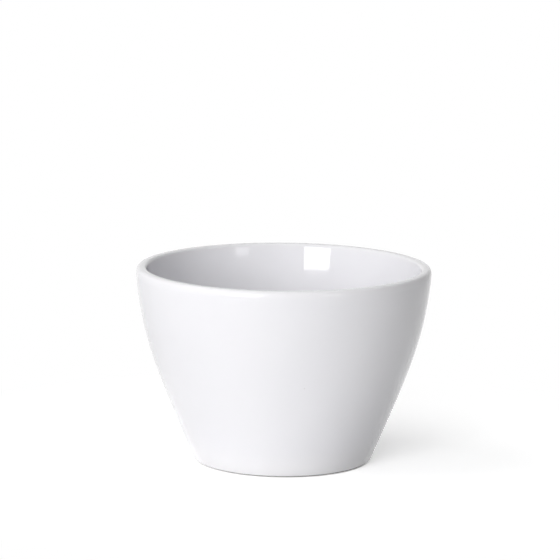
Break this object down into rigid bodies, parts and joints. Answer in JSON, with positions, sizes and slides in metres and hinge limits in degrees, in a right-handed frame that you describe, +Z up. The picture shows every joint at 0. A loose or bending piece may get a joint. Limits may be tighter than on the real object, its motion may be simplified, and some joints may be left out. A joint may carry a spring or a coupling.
{
  "type": "coffee cupping bowl",
  "caption": "White glazed porcelain bowl without a handle, with a rounded lip and a wall leaning out from a narrow bare foot ring, for steeping and tasting coffee samples.",
  "frame": {"origin": "on the bowl's axis, on the surface that the foot ring stands on", "axes": "+Z up along the bowl's axis, -Y towards the side that the picture shows"},
  "size_m": [0.09, 0.09, 0.0596],
  "materials": {
    "bare_porcelain": "matte",
    "white_glaze": "gloss",
    "well_glaze": "gloss"
  },
  "bodies": {
    "root": {"porcelain_body": "bare_porcelain", "glaze_coat": "white_glaze", "foot_well_glaze": "well_glaze"}
  },
  "joints": []
}
